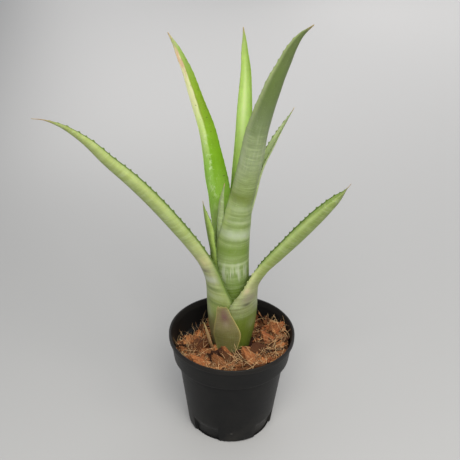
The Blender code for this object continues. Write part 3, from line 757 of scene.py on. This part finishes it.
LOWER_LEFT = (
    (0, 0, 10, 10.2, 60), (0, 0, 18, 11.9, 80), (0, 0, 26, 13.6, 92), (0, 0, 38, 15.6, 94),
    (0, 0, 54, 17, 86), (-0.5, -0.2, 68, 17, 76), (-5.7, -1.9, 81, 13, 74),
    (-13.5, -4.6, 95, 9.5, 84), (-25, -8.6, 113.5, 8.2, 95), (-36, -12.4, 130, 7.9, 98),
    (-49, -17, 149, 7.5, 98), (-62, -21.5, 166, 6.9, 97), (-77, -26.7, 183.5, 6, 93),
    (-92, -32, 201.5, 4.4, 84), (-106, -37, 212.5, 2.4, 68), (-114, -39.5, 215.6, 1.1, 45),
    (-120.5, -41.5, 216.5, 0.35, 30))
finish = leaf_shader(
    "leaf_lower_left_skin",
    ((0.0, (124, 116, 78)), (0.12, (132, 126, 78)), (0.2, (146, 160, 84)), (0.26, (160, 170, 106)),
     (0.33, (174, 176, 126)), (0.38, (180, 188, 124)), (0.50, (160, 176, 100)), (0.75, (160, 174, 100)),
     (0.92, (166, 178, 100)), (1.0, (164, 166, 110))),
    ((0.0, (116, 132, 74)), (0.4, (120, 140, 60)), (1.0, (116, 138, 58))),
    marks=(
        # The first mark is a painted highlight: a paler strip along the arm's upper part, where the light
        # from above falls.
        (0.7, 0.42, 0.72, 0.24, 0.5, (200, 214, 130)), (0.5, 0.5, 0.98, 0.14, 0.85, (108, 132, 50)),
        (0.37, 0.035, 0.55, 0.5, 0.6, (222, 212, 152)), (0.335, 0.012, 0.3, 0.6, 0.7, (128, 122, 96)),
        (0.3, 0.022, 0.3, 0.9, 0.9, (200, 204, 182)), (0.262, 0.012, 0.4, 0.9, 0.7, (104, 122, 58)),
        (0.235, 0.012, 0.3, 0.8, 0.6, (176, 186, 140)), (0.21, 0.01, 0.3, 0.9, 0.6, (112, 130, 62)),
        (0.17, 0.03, 0.05, 0.3, 0.7, (176, 182, 140)), (0.3, 0.09, 0.95, 0.3, 0.8, (116, 142, 50)),
    ), band=0.5, band_from=0.16, rim=(0.3, 0.9), edge=(88, 108, 44), tip=0.96, seed=23.0)
add_leaf("leaf_lower_left_blade", "leaf_lower_left", "leaf_green", 199, LOWER_LEFT, 2, finish,
         rows=420, teeth=6.2, twist=(0.25, 0.75, 26))

SHORT_LEFT = (
    (0, 0, 14, 9, 55), (0, 0, 26, 11.4, 75), (0, 0, 38, 13.1, 78), (0, 0, 56, 13.8, 72),
    (-0.6, 0, 76, 13.3, 60), (-1.6, 0, 91.5, 13, 46), (-5.5, 0.3, 103, 10, 44), (-10, 0.6, 110, 6.8, 56),
    (-13.2, 0.8, 118, 4.9, 76), (-16.6, 0.6, 129, 3, 68), (-19.6, 0.4, 138.5, 0.8, 25))
finish = leaf_shader(
    "leaf_short_left_skin",
    ((0.0, (84, 104, 36)), (0.6, (100, 122, 40)), (0.8, (118, 140, 56)), (1.0, (140, 160, 84))),
    ((0.0, (130, 152, 70)), (1.0, (150, 172, 90))),
    marks=((0.75, 0.3, 0.75, 0.4, 0.8, (160, 182, 96)),), band=0.2, rim=(0.3, 0.8), tip=0.985, seed=31.0,
    light=1.15)
add_leaf("leaf_short_left_blade", "leaf_short_left", "leaf_green", 184, SHORT_LEFT, 3, finish,
         rows=220, teeth=4.6, tooth=0.6, twist=(0.5, 0.85, 20))

FRONT_TALL = (
    (0, 0, 18, 8.1, 70), (0, 0, 26, 9.7, 95), (0, 0, 38, 11.1, 110), (0, 0, 56, 11.9, 112),
    (0, 0, 81, 12.2, 110), (-0.2, 0, 99, 12, 100), (0.8, -0.2, 111, 11.1, 87),
    (2.3, -0.5, 124, 10.1, 80), (4.6, -1.5, 140, 8.8, 82), (7.4, -2.5, 153, 8.4, 86),
    (11.4, -5, 176, 7.9, 90), (14.2, -8, 196, 7.4, 90), (17.9, -11, 211, 6.6, 88),
    (23.1, -15, 230, 5.7, 84), (28.4, -19, 246, 4.5, 76), (32.7, -23, 258, 3.5, 66),
    (37, -26, 266, 2.4, 55), (44, -31, 274, 0.8, 30))


def silver_streaks(shader, base, s, t, along, inside, mottle):
    """Silvery streaks that run along the blade low down, and faint ones higher up."""
    streak = shader.noise(shader.vector(along * 0.05, t * 7.0, 3.0), 1.0, 2.0).fade(0.5, 0.66)
    reach = s.near(0.262, 0.04) * 0.75 + s.near(0.62, 0.12) * 0.25
    return shader.mix(streak * reach * (1.0 - inside), base, srgb(196, 204, 172))


finish = leaf_shader(
    "leaf_front_tall_skin",
    ((0.0, (90, 112, 36)), (0.2, (100, 124, 40)), (0.27, (130, 152, 80)), (0.36, (134, 154, 84)),
     (0.44, (146, 164, 102)), (0.5, (132, 150, 82)), (0.6, (144, 158, 112)), (0.7, (118, 134, 86)),
     (0.8, (104, 122, 64)), (1.0, (108, 122, 70))),
    ((0.0, (130, 152, 66)), (0.6, (140, 168, 70)), (1.0, (140, 156, 90))),
    marks=(
        # The marks at -0.9, -0.75 and -0.85 across are painted highlight: a paler left side, where the
        # rounded tube faces the light.
        (0.82, 0.3, -0.9, 0.42, 0.85, (184, 196, 138)), (0.6, 0.14, -0.75, 0.35, 0.6, (184, 196, 150)),
        (0.8, 0.25, 0.85, 0.3, 0.5, (156, 170, 112)), (0.4, 0.16, -0.85, 0.4, 0.75, (182, 200, 124)),
        (0.482, 0.026, 0.0, 2.2, 0.8, (112, 128, 48)), (0.45, 0.01, 0.0, 2.0, 0.6, (168, 182, 134)),
        (0.43, 0.006, 0.2, 1.8, 0.6, (112, 132, 56)), (0.41, 0.005, -0.1, 1.8, 0.6, (178, 190, 146)),
        (0.397, 0.006, 0.1, 1.8, 0.6, (116, 136, 60)), (0.373, 0.024, 0.0, 2.4, 0.9, (184, 196, 160)),
        (0.352, 0.006, 0.1, 1.8, 0.6, (118, 138, 70)), (0.326, 0.024, 0.0, 2.2, 0.75, (112, 138, 46)),
        (0.3, 0.008, 0.2, 1.8, 0.5, (132, 148, 86)), (0.287, 0.007, 0.0, 2.4, 0.8, (186, 198, 150)),
        (0.17, 0.06, 0.5, 0.5, 0.6, (74, 96, 30)),
    ), band=0.42, band_to=0.72, rim=(0.3, 0.3), edge=(150, 166, 100), tip=0.99, seed=41.0,
    extra=silver_streaks)
add_leaf("leaf_front_tall_blade", "leaf_front_tall", "leaf_grey_green", -75, FRONT_TALL, 4, finish,
         rows=380, thick=1.5)

INNER_YOUNG = (
    (0, 0, 22, 7.1, 40), (0, 0, 38, 9.5, 46), (0, 0, 66, 10.3, 48), (-0.4, 0, 94, 10, 46),
    (-3, 0.8, 111, 7.4, 44), (-5.8, 1.6, 127, 4.6, 48), (-6.2, -0.6, 141, 2.6, 50),
    (-5.2, -3.4, 154, 0.8, 25))
finish = leaf_shader(
    "leaf_inner_young_skin",
    ((0.0, (128, 146, 86)), (0.6, (152, 168, 116)), (1.0, (142, 156, 104))),
    ((0.0, (136, 158, 80)), (1.0, (134, 154, 84))),
    band=0.4, rim=(0.3, 0.3), tip=0.985, seed=53.0, light=1.2)
add_leaf("leaf_inner_young_blade", "leaf_inner_young", "leaf_grey_green", 223, INNER_YOUNG, 5, finish,
         rows=200, teeth=4.0, tooth=0.5)

BACK_RIGHT = (
    (0, 0, 22, 7.1, 55), (0, 0, 38, 9.5, 70), (0, 0, 66, 10.3, 72), (0.4, 0.4, 94, 10, 70),
    (2.6, 4.2, 111, 7.2, 66), (7.6, 6.2, 127, 5.4, 66), (12.4, 8, 143, 4.2, 74),
    (15, 9, 154, 3.7, 80), (18.6, 10, 165, 3.6, 82), (22.8, 11, 174, 3.4, 78),
    (28.3, 12.2, 185, 2.5, 66), (38, 14, 201.5, 0.7, 25))
finish = leaf_shader(
    "leaf_back_right_skin",
    ((0.0, (140, 156, 92)), (0.6, (158, 172, 112)), (1.0, (160, 172, 118))),
    ((0.0, (150, 166, 96)), (0.6, (168, 180, 130)), (1.0, (170, 180, 132))),
    band=0.5, tip=0.985, seed=61.0, light=1.2)
add_leaf("leaf_back_right_blade", "leaf_back_right", "leaf_green", 20, BACK_RIGHT, 6, finish,
         rows=260, teeth=4.2, tooth=1.0)

BACK_LEFT = (
    (0, 0, 26, 6.1, 60), (0, 0, 38, 7.9, 78), (0, 0, 66, 8.6, 80), (-0.5, 0.3, 92, 8.5, 54),
    (-4, 2.6, 109, 8.8, 54), (-6, 4.8, 124, 8.8, 58), (-8.3, 7, 140, 8.5, 70),
    (-10.9, 8.8, 152, 7.9, 80), (-14.1, 12, 167, 6.6, 80), (-17.7, 16, 183, 5.7, 78),
    (-23.1, 20, 198.5, 4.8, 74), (-27.9, 23, 212, 4.1, 70), (-32.1, 25.4, 223, 3.5, 64),
    (-36.6, 27.2, 232.6, 2.6, 56), (-43.6, 30, 244.5, 0.8, 25))


def scorched(shader, base, s, t, along, inside, mottle):
    """A bleached left wall, tan and pink towards the tip, with flecks and a few dark specks."""
    ragged = shader.noise(shader.vector(along * 0.12, t * 2.0, 5.0), 1.0, 3.0, 0.6)
    wall_part = (t + (ragged - 0.5) * 0.35).fade(-0.02, 0.2)
    wall_tint = shader.mix(s.fade(0.58, 0.7), srgb(158, 198, 92), srgb(198, 216, 136))
    wall_tint = shader.mix(s.fade(0.7, 0.8), wall_tint, srgb(218, 218, 168))
    wall_tint = shader.mix((s.fade(0.82, 0.92) * ragged.fade(0.35, 0.55)), wall_tint, srgb(206, 172, 138))
    wall_tint = shader.mix(s.fade(0.93, 0.98), wall_tint, srgb(150, 160, 96))
    base = shader.mix(wall_part * inside * s.fade(0.42, 0.56), base, wall_tint)
    crease = t.near(-0.02, 0.14) * s.fade(0.66, 0.76) * (1.0 - s.fade(0.86, 0.96))
    base = shader.mix(crease * inside * 0.7, base, srgb(138, 146, 42))
    flecks = mottle.fade(0.52, 0.62) * t.near(0.25, 0.5) * s.near(0.58, 0.2)
    base = shader.mix(flecks * inside * 0.7, base, srgb(216, 232, 184))
    dark = shader.noise(shader.vector(along * 0.5, t * 3.5, 9.0), 1.0, 2.0).fade(0.66, 0.72)
    return shader.mix(dark * inside * 0.7, base, srgb(96, 96, 50))


finish = leaf_shader(
    "leaf_back_left_skin",
    ((0.0, (112, 128, 66)), (0.5, (122, 146, 68)), (1.0, (134, 148, 82))),
    ((0.0, (140, 166, 90)), (0.40, (168, 196, 110)), (0.50, (150, 192, 70)), (0.6, (132, 178, 32)),
     (0.82, (138, 170, 40)), (0.92, (156, 184, 88)), (1.0, (178, 186, 130))),
    band=0.3, band_to=0.55, rim=(0.5, 0.1), edge=(118, 148, 52), tip=0.985, seed=71.0, light=0.88,
    extra=scorched)
add_leaf("leaf_back_left_blade", "leaf_back_left", "leaf_vivid_green", 125, BACK_LEFT, 7, finish,
         rows=330, teeth=4.4, tooth=0.6, twist=(0.35, 0.6, -18))

CENTRE = (
    (0, 0, 31, 5.1, 110), (0, 0, 46, 6.2, 130), (0, 0, 86, 6.7, 130), (0.6, 0.3, 111, 6.4, 124),
    (2, 1.2, 128, 6, 112), (4.2, 3, 154, 5.6, 98), (5.4, 6, 175, 5.5, 92), (6.3, 9, 201, 5, 86),
    (6.6, 10.2, 219, 3.9, 78), (5.4, 10, 242, 2.2, 60), (4.2, 9, 256.5, 0.7, 25))


def painted_highlight_middle(shader, base, s, t, along, inside, mottle):
    """A painted highlight: a pale glossy streak down the channel, where it catches the light, between darker
    walls.
    """
    # The pale streak is a painted highlight.
    streak = t.near(0.1, 0.42) * s.near(0.76, 0.2) * 0.75
    base = shader.mix(streak, base, srgb(216, 230, 166))
    return shader.mix(t.fade(-0.3, -0.85) * 0.55, base, srgb(140, 172, 64))


finish = leaf_shader(
    "leaf_centre_skin",
    ((0.0, (150, 176, 80)), (0.6, (140, 168, 72)), (1.0, (130, 150, 74))),
    ((0.0, (160, 190, 84)), (0.5, (176, 206, 104)), (0.75, (184, 212, 118)), (0.9, (172, 198, 104)),
     (1.0, (158, 174, 104))),
    band=0.1, rim=(0.55, 0.55), tip=0.99, seed=83.0, edge=(128, 152, 60), light=1.02, extra=painted_highlight_middle)
add_leaf("leaf_centre_blade", "leaf_centre", "leaf_light_green", 88, CENTRE, 8, finish,
         rows=300, teeth=4.6, tooth=0.6)


# ---- Cut leaf base ------------------------------------------------------------------------
# The dying base of a leaf that was torn off at the front: dull olive, bruised brown, with a
# ragged straw-coloured top.

CUT_STUB = (
    (0, 0, 18, 16.6, 22), (0, 0, 28, 17.6, 26), (0, 0, 40, 19.5, 30), (-1.2, 0, 52, 20.6, 21),
    (-2.6, 0, 61, 20.7, 13), (-3.6, 0, 66.5, 20.4, 9))


def bruised(shader, base, s, t, along, inside, mottle):
    """A purple-brown bruise high up, and straw-coloured torn margins."""
    bruise = s.near(0.83, 0.2) * t.near(0.1, 0.9) * mottle.fade(0.2, 0.55)
    base = shader.mix(bruise * 0.9, base, srgb(112, 78, 76))
    pale = s.near(0.68, 0.1) * t.near(0.1, 0.45) * mottle
    base = shader.mix(pale * 0.7, base, srgb(168, 154, 134))
    margin = s.fade(0.93, 0.99) + t.math("ABSOLUTE").fade(0.8, 0.98) * 0.6
    return shader.mix(margin.math("MINIMUM", 1.0) * 0.8, base, srgb(156, 146, 84))


finish = leaf_shader(
    "cut_base_skin",
    ((0.0, (104, 104, 58)), (0.4, (114, 110, 62)), (0.7, (126, 116, 76)), (1.0, (122, 112, 68))),
    ((0.0, (120, 112, 70)), (1.0, (140, 126, 84))),
    band=0.1, rim=(0.25, 0.8), tip=1.3, seed=91.0, edge=(186, 170, 106), light=1.0, extra=bruised)
torn = ((-1.0, 0.955), (-0.75, 1.0), (-0.5, 0.965), (-0.1, 0.985), (0.35, 0.96), (0.8, 0.975), (1.0, 0.93))
add_leaf("leaf_cut_base", "leaf_cut_stub", "leaf_dying", -98, CUT_STUB, 9, finish,
         rows=120, thick=1.4, tooth=0.0, top=torn, wave=0.1)


# ---- Dry sheath ---------------------------------------------------------------------------
# A thin straw-coloured sliver of a dead outer sheath, standing out from the base at the left.

DRY_SHEATH = (
    (-9.9, -11.8, 25, 4, 28), (-11.8, -11.8, 31, 4, 28), (-14, -11.2, 39, 3.8, 24),
    (-16.5, -10.4, 47, 3.4, 12))
finish = leaf_shader(
    "dry_sheath_skin",
    ((0.0, (150, 108, 72)), (0.5, (188, 150, 104)), (1.0, (206, 176, 128))),
    ((0.0, (150, 108, 72)), (1.0, (190, 150, 108))),
    band=0.1, tip=1.3, seed=97.0, rim=(0.6, 0.6), edge=(140, 96, 60))
add_leaf("dry_sheath_sliver", "dry_sheath", "sheath_dry", 228, DRY_SHEATH, 10, finish,
         rows=80, thick=0.5, tooth=0.0, wave=0.1)


# ---- Stage, light and camera --------------------------------------------------------------
# A plain pale floor that runs on out of sight, four soft lights and a faintly blue sky. The key
# light stands high in front, the next two light the floor behind, and the last fills the pot.

floor_mesh = bpy.data.meshes.new("studio_floor")
floor_mesh.from_pydata([(-4, -3, 0), (4, -3, 0), (4, 6, 0), (-4, 6, 0)], [], [(0, 1, 2, 3)])
studio_floor = bpy.data.objects.new("studio_floor", floor_mesh)
studio_floor.location.z = -0.0001
bpy.context.scene.collection.objects.link(studio_floor)
paper = Shader("studio_paper", Roughness=0.75, Specular_IOR_Level=0.2)
paper.finish({"Base Color": srgb(178, 177, 175)})
floor_mesh.materials.append(paper.material)


def soft_light(name, place, target, size, power, colour):
    """A square area light that looks at a target."""
    light = bpy.data.lights.new(name, "AREA")
    light.energy = power
    light.size = size
    light.color = colour
    holder = bpy.data.objects.new(name, light)
    bpy.context.scene.collection.objects.link(holder)
    way = np.array(target) - np.array(place)
    holder.rotation_euler = Vector(way).to_track_quat("-Z", "Y").to_euler()
    holder.location = place
    holder.visible_camera = False
    return holder


soft_light("key_light", (0.03, -0.8, 1.04), (-0.18, -0.46, 0.07), 0.73, 15.4, (1.0, 0.985, 0.955))
soft_light("far_light", (0.0, 0.9, 0.5), (0.53, 0.99, 0.02), 1.0, 3.8, (1.0, 0.985, 0.99))
soft_light("side_light", (0.64, 0.96, 0.5), (0.99, 0.31, 0.0), 1.0, 2.9, (1.0, 0.985, 0.985))
soft_light("front_light", (0.4, -0.35, 0.55), (0.0, -0.06, 0.0), 0.3, 0.8, (1.0, 0.98, 0.95))
world = bpy.data.worlds.new("studio")
world.use_nodes = True
world.node_tree.nodes["Background"].inputs["Color"].default_value = (0.9, 0.94, 1.0, 1.0)
world.node_tree.nodes["Background"].inputs["Strength"].default_value = 0.46
bpy.context.scene.world = world
bpy.context.scene.view_settings.view_transform = "Standard"

camera_data = bpy.data.cameras.new("camera")
camera_data.lens = 78.3
camera_data.clip_start = 0.01
camera = bpy.data.objects.new("camera", camera_data)
bpy.context.scene.collection.objects.link(camera)
pitch, roll = np.radians(31.66), np.radians(1.07)
level, forward = np.array((1.0, 0.0, 0.0)), np.array((0.0, np.cos(pitch), -np.sin(pitch)))
upright = np.array((0.0, np.sin(pitch), np.cos(pitch)))
right = np.cos(roll) * level + np.sin(roll) * upright
up = np.cos(roll) * upright - np.sin(roll) * level
turn = np.column_stack((right, up, -forward))
camera.matrix_world = Matrix.Translation((-0.00265, -0.57235, 0.51657)) @ Matrix(turn.tolist()).to_4x4()
bpy.context.scene.camera = camera
